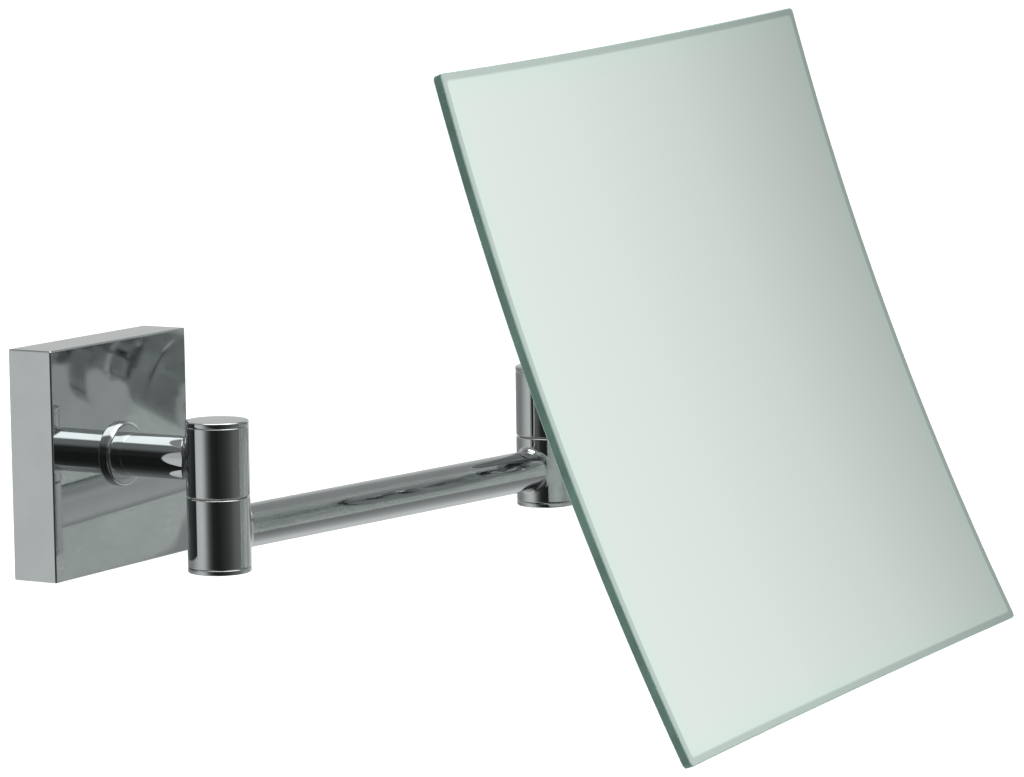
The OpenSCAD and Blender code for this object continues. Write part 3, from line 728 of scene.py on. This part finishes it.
plate = {"radius": 35, "back": 27, "front": 30, "edge": 0.5, "steps": 160}
screws = {"count": 3, "first": 90, "ring": 14, "steps": 48, "thread": 2, "hole": 2.2, "head": 4,
          "sink": 2.2, "length": 6, "past": 1}
bm = socketHousing()
screwEnd = plate["front"] - screws["length"]
holeTop = housing["front"] + screws["past"]
for tool in plateScrewTools([(0, screwEnd, 0), (screws["thread"], screwEnd, 0),
                             (screws["thread"], holeTop, 0), (0, holeTop, 0)]):
    bm = cutOut(bm, tool)
newPiece("ball_socket_housing", bm, headFrame, "mirror_head", "socket_housing",
         [chrome])

clamp = {"radius": 13.6, "bore": 11.8, "back": -7.2, "front": 4, "lipFront": -5.05, "edge": 0.5,
         "lipEdge": 0.1, "mouthEdge": 0.3, "boreEdge": 0.15, "stemMargin": 0.35, "tilt": 30,
         "grips": 24, "gripRadius": 0.7, "gripSink": 0.245, "gripStop": 1.5, "gripStep": 0.15,
         "stepsPerGrip": 16, "crease": 25}


def stemSweep(depth):  # radius that the tilted stem needs behind the ball's centre
    tilt = math.radians(clamp["tilt"])
    return (math.tan(tilt) * (depth + stud["stem"] * math.sin(tilt))
            + stud["stem"] * math.cos(tilt) + clamp["stemMargin"])


def clampRing():
    c = clamp
    stop = c["gripStop"]
    bm = turned([(stemSweep(-c["lipFront"]), c["lipFront"], c["lipEdge"]),
                 (stemSweep(-c["back"]), c["back"], c["mouthEdge"]),
                 (c["radius"], c["back"], c["edge"]), (c["radius"], stop - c["gripStep"], 0),
                 (c["radius"], stop, 0), (c["radius"], c["front"], c["edge"]),
                 (c["bore"], c["front"], c["boreEdge"]), (c["bore"], c["lipFront"], 0)],
                c["grips"] * c["stepsPerGrip"])
    centre = c["radius"] + c["gripSink"]
    pitch = math.tau / c["grips"]
    for v in bm.verts:  # the grips are scallops along the ring
        radius, angle = math.hypot(v.co.x, v.co.y), math.atan2(v.co.y, v.co.x)
        off = (angle + pitch / 2) % pitch - pitch / 2
        sideways = centre * math.sin(off)
        if v.co.z > stop - c["gripStep"] / 2 or abs(sideways) >= c["gripRadius"]:
            continue
        wall = centre * math.cos(off) - math.sqrt(c["gripRadius"] ** 2 - sideways ** 2)
        if radius > wall:
            v.co.x *= wall / radius
            v.co.y *= wall / radius
    return bm


newPiece("clamp_ring_knurled", clampRing(), headFrame, "mirror_head",
         "clamp_ring", [chrome], clamp["crease"])

bm = turned([(0, plate["back"], 0), (plate["radius"], plate["back"], plate["edge"]),
             (plate["radius"], plate["front"], plate["edge"]), (0, plate["front"], 0)],
            plate["steps"], closed=False)
sinkShare = (screws["head"] - screws["hole"]) / (screws["head"] - screws["thread"])
sinkStart = plate["front"] - screws["sink"] * sinkShare
holeFoot, holeTop = plate["back"] - screws["past"], plate["front"] + screws["past"]
for tool in plateScrewTools([(0, holeFoot, 0), (screws["hole"], holeFoot, 0),
                             (screws["hole"], sinkStart, 0), (screws["head"], plate["front"], 0),
                             (screws["head"], holeTop, 0), (0, holeTop, 0)]):
    bm = cutOut(bm, tool)
newPiece("back_plate_turned", bm, headFrame, "mirror_head", "back_plate",
         [chrome])

glass = {"size": 200, "thick": 3, "radius": 980, "face": 34, "corner": 1.5, "cornerSteps": 6,
         "arris": 0.35, "cell": 4, "relief": 0.02, "crease": 20}


def backSag(distance):
    radius = glass["radius"] + glass["thick"]
    return radius - math.sqrt(radius ** 2 - distance ** 2)


pad = {"radius": 33, "back": 30, "rings": 12, "steps": 128}
padFace = glass["face"] - glass["thick"] - glass["relief"]
rings = [pad["radius"] * i / pad["rings"] for i in range(pad["rings"], -1, -1)]
bm = turned([(0, pad["back"], 0), (pad["radius"], pad["back"], 0)]
            + [(r, padFace + backSag(r), 0) for r in rings], pad["steps"], closed=False)
newPiece("foam_pad", bm, headFrame, "mirror_head", "adhesive_pad", [foam])
print("mirror head made")

# glass: a flat pane with ground arrises, sagged to its two spherical faces
def concaveGlass():
    g = glass
    bm = bmesh.new()
    bmesh.ops.create_cube(bm, size=1)
    bmesh.ops.scale(bm, vec=(g["size"], g["size"], g["thick"]), verts=bm.verts)
    upright = [e for e in bm.edges if abs(e.verts[0].co.z - e.verts[1].co.z) > g["thick"] / 2]
    roundEdges(bm, upright, g["corner"], g["cornerSteps"])
    sharp = [e for e in bm.edges if e.calc_face_angle(0) > 1]
    roundEdges(bm, sharp, g["arris"], fine["deburrSteps"])
    bm.faces.ensure_lookup_table()
    for face in bm.faces:  # 0 silver, 1 edge, 2 arris, 3 backing
        lean = face.normal.z
        face.material_index = 1 if abs(lean) < 0.01 else 2
        if abs(lean) > 0.99:
            face.material_index = 0 if lean > 0 else 3
    half = g["size"] / 2
    cuts = int(half // g["cell"])
    for way in ((1, 0, 0), (0, 1, 0)):
        for i in range(-cuts + 1, cuts):
            bmesh.ops.bisect_plane(bm, geom=bm.verts[:] + bm.edges[:] + bm.faces[:], dist=1e-5,
                                   plane_co=Vector(way) * i * g["cell"], plane_no=way)
    across = bm.loops.layers.uv.new("across glass")
    for face in bm.faces:
        for loop in face.loops:
            loop[across].uv = (loop.vert.co.x / g["size"] + 0.5, loop.vert.co.y / g["size"] + 0.5)
    for v in bm.verts:
        distance = math.hypot(v.co.x, v.co.y)
        frontSag = g["radius"] - math.sqrt(g["radius"] ** 2 - distance ** 2)
        part = v.co.z / g["thick"] + 0.5
        v.co.z = (g["face"] - g["thick"] * (1 - part)
                  + frontSag * part + backSag(distance) * (1 - part))
    return bm


newPiece("mirror_pane", concaveGlass(), headFrame, "mirror_head", "mirror_glass",
         [silver, glassEdge, arris, backing], glass["crease"])
print("glass made")

# CAD nodes that keep their shape and only get a finish
keptFinishes = {
    steel: ["stub_screw", "stub_lock_washer", "base_hinge_bolt", "base_thrust_washer",
            "base_disc_springs", "base_hinge_nut", "end_hinge_bolt", "end_thrust_washer",
            "end_disc_springs", "end_hinge_nut", "seat_spring", "back_plate_screws"],
    nylon: ["base_hinge_bush", "end_hinge_bush", "rear_ball_seat", "front_ball_seat"],
}
for finish, names in keptFinishes.items():
    for name in names:
        node = frame["nodes"][name]
        node.data.materials.clear()
        node.data.materials.append(finish)

# studio: a pale floor, and soft light that depends only on its direction
floorLook = {"height": -0.9, "radius": 60, "steps": 128, "tone": "#F5F5F4",
             "fibreTone": "#F1F1F0", "fibreSize": 300}


def matPaper():  # seamless paper, rolled: even and matt
    look = floorLook
    finish, tree, place = startFinish("seamless paper, matt")
    fibre = addNode(tree, "ShaderNodeTexNoise", {"Scale": perMm(look["fibreSize"]), "Detail": 3},
                    {"Vector": place})
    tone = addNode(tree, "ShaderNodeMix",
                   {"data_type": "RGBA", 6: hexColour(look["tone"]),
                    7: hexColour(look["fibreTone"])},
                   {0: fibre.outputs["Fac"]})
    shader = addNode(tree, "ShaderNodeBsdfPrincipled", {"Roughness": 0.9},
                     {"Base Color": tone.outputs[2]})
    addNode(tree, "ShaderNodeOutputMaterial", {}, {"Surface": shader.outputs[0]})
    return finish


def studioFloor():
    bm = bmesh.new()
    bmesh.ops.create_circle(bm, cap_ends=True, segments=floorLook["steps"],
                            radius=floorLook["radius"])
    bmesh.ops.translate(bm, vec=(0, 0, floorLook["height"]), verts=bm.verts)
    mesh = bpy.data.meshes.new("studio_floor")
    bm.to_mesh(mesh)
    bm.free()
    mesh.materials.append(matPaper())
    floor = bpy.data.objects.new("studio_floor", mesh)
    scene.collection.objects.link(floor)
    floor.visible_glossy = False  # polished metal sees the light below the horizon instead


studioFloor()

# (degrees from +x towards +y, brightness) in a row above the horizon, a row below it and the floor
light = {
    "above": [(-180, 0.08), (-165, 0.06), (-138, 0.04), (-126, 0.10), (-100, 0.20), (-60, 0.28),
              (-44, 0.40), (-38, 0.61), (-33.5, 0.755), (-28, 0.86), (-22, 0.92), (0, 0.90),
              (20, 0.72), (31, 0.62), (60, 0.60), (96, 0.62), (150, 0.62), (166, 0.35), (176, 0.10),
              (180, 0.08)],
    "below": [(-180, 0.11), (-168, 0.03), (-149, 0.02), (-133, 0.035), (-118, 0.055), (-102, 0.09),
              (-86, 0.165), (-68, 0.20), (-47, 0.26), (-20, 0.42), (0, 0.74), (14, 0.80),
              (26, 0.72), (41, 0.46), (60, 0.34), (89, 0.30), (104, 0.36), (122, 0.60), (138, 0.76),
              (152, 0.76), (162, 0.58), (172, 0.26), (180, 0.11)],
    "floor": [(-180, 0.25), (-160, 0.08), (-140, 0.02), (-115, 0.05), (-85, 0.14), (-51, 0.30),
              (-40, 0.29), (-24, 0.46), (4, 0.80), (20, 0.74), (38, 0.36), (60, 0.60), (90, 0.78),
              (140, 0.78), (165, 0.50), (180, 0.25)],
    "ceiling": 0.36, "rowsMeet": (-0.10, 0.14), "floorMeet": (-0.62, -0.22),
    "ceilingMeet": (0.30, 0.60),
    "lampWay": (0.20, -0.575, 0.79), "lamp": 2.4, "lampEdge": (0.86, 0.92),
    "softbox": 3.6, "softboxEdge": (0.87, 0.91), "cast": (0.975, 1.0, 0.99)}


def rampStops(tones, low, high):
    return [((at - low) / (high - low), grey(tone)) for at, tone in tones]


def studioLight():
    world = bpy.data.worlds.new("studio light")
    scene.world = world
    world.use_nodes = True
    tree = world.node_tree
    tree.nodes.clear()
    way = addNode(tree, "ShaderNodeTexCoord", {}).outputs["Generated"]
    parts = addNode(tree, "ShaderNodeSeparateXYZ", {}, {"Vector": way})
    angle = addNode(tree, "ShaderNodeMath", {"operation": "ARCTAN2"},
                    {0: parts.outputs["Y"], 1: parts.outputs["X"]})
    turn = addNode(tree, "ShaderNodeMapRange", {"From Min": -math.pi, "From Max": math.pi},
                   {"Value": angle.outputs[0]})
    above = addNode(tree, "ShaderNodeValToRGB", {}, {"Fac": turn.outputs[0]},
                    rampStops(light["above"], -180, 180))
    below = addNode(tree, "ShaderNodeValToRGB", {}, {"Fac": turn.outputs[0]},
                    rampStops(light["below"], -180, 180))
    floor = addNode(tree, "ShaderNodeValToRGB", {}, {"Fac": turn.outputs[0]},
                    rampStops(light["floor"], -180, 180))
    rise = addNode(tree, "ShaderNodeMapRange",
                   {"interpolation_type": "SMOOTHSTEP", "From Min": light["rowsMeet"][0],
                    "From Max": light["rowsMeet"][1]}, {"Value": parts.outputs["Z"]})
    lift = addNode(tree, "ShaderNodeMapRange",
                   {"interpolation_type": "SMOOTHSTEP", "From Min": light["floorMeet"][0],
                    "From Max": light["floorMeet"][1]}, {"Value": parts.outputs["Z"]})
    rows = addNode(tree, "ShaderNodeMix", {"data_type": "RGBA"},
                   {0: rise.outputs[0], 6: below.outputs[0], 7: above.outputs[0]})
    walls = addNode(tree, "ShaderNodeMix", {"data_type": "RGBA"},
                    {0: lift.outputs[0], 6: floor.outputs[0], 7: rows.outputs[2]})
    high = addNode(tree, "ShaderNodeMapRange",
                   {"interpolation_type": "SMOOTHSTEP", "From Min": light["ceilingMeet"][0],
                    "From Max": light["ceilingMeet"][1]}, {"Value": parts.outputs["Z"]})
    room = addNode(tree, "ShaderNodeMix", {"data_type": "RGBA", 7: grey(light["ceiling"])},
                   {0: high.outputs[0], 6: walls.outputs[2]})
    facing = addNode(tree, "ShaderNodeVectorMath",
                     {"operation": "DOT_PRODUCT", 1: Vector(light["lampWay"]).normalized()},
                     {0: way})
    lamp = addNode(tree, "ShaderNodeMapRange",
                   {"interpolation_type": "SMOOTHSTEP", "From Min": light["lampEdge"][0],
                    "From Max": light["lampEdge"][1], "To Max": light["lamp"]},
                   {"Value": facing.outputs["Value"]})
    softbox = addNode(tree, "ShaderNodeMapRange",
                      {"interpolation_type": "SMOOTHSTEP", "From Min": light["softboxEdge"][0],
                       "From Max": light["softboxEdge"][1], "To Max": light["softbox"]},
                      {"Value": parts.outputs["Z"]})
    lamps = addNode(tree, "ShaderNodeMath", {"operation": "ADD"},
                    {0: lamp.outputs[0], 1: softbox.outputs[0]})
    total = addNode(tree, "ShaderNodeVectorMath", {"operation": "ADD"},
                    {0: room.outputs[2], 1: lamps.outputs[0]})
    tinted = addNode(tree, "ShaderNodeVectorMath", {"operation": "MULTIPLY", 1: light["cast"]},
                     {0: total.outputs[0]})
    sky = addNode(tree, "ShaderNodeBackground", {"Strength": 1.0}, {"Color": tinted.outputs[0]})
    addNode(tree, "ShaderNodeOutputWorld", {}, {"Surface": sky.outputs[0]})


studioLight()

camera = {"place": (-0.99712, -0.7332, 0.17007), "lens": 157.2, "sensor": 36, "clip": (0.05, 200),
          "right": (0.50987, -0.86014, -0.01388), "above": (0.11404, 0.05159, 0.99214),
          "back": (-0.85266, -0.50744, 0.12439)}
lens = bpy.data.cameras.new("camera")
lens.lens, lens.sensor_width = camera["lens"], camera["sensor"]
lens.clip_start, lens.clip_end = camera["clip"]
viewer = bpy.data.objects.new("camera", lens)
scene.collection.objects.link(viewer)
turn = Matrix((camera["right"], camera["above"], camera["back"])).transposed().to_4x4()
viewer.matrix_world = Matrix.Translation(camera["place"]) @ turn
scene.camera = viewer
scene.view_settings.view_transform = "Standard"
print("studio made")
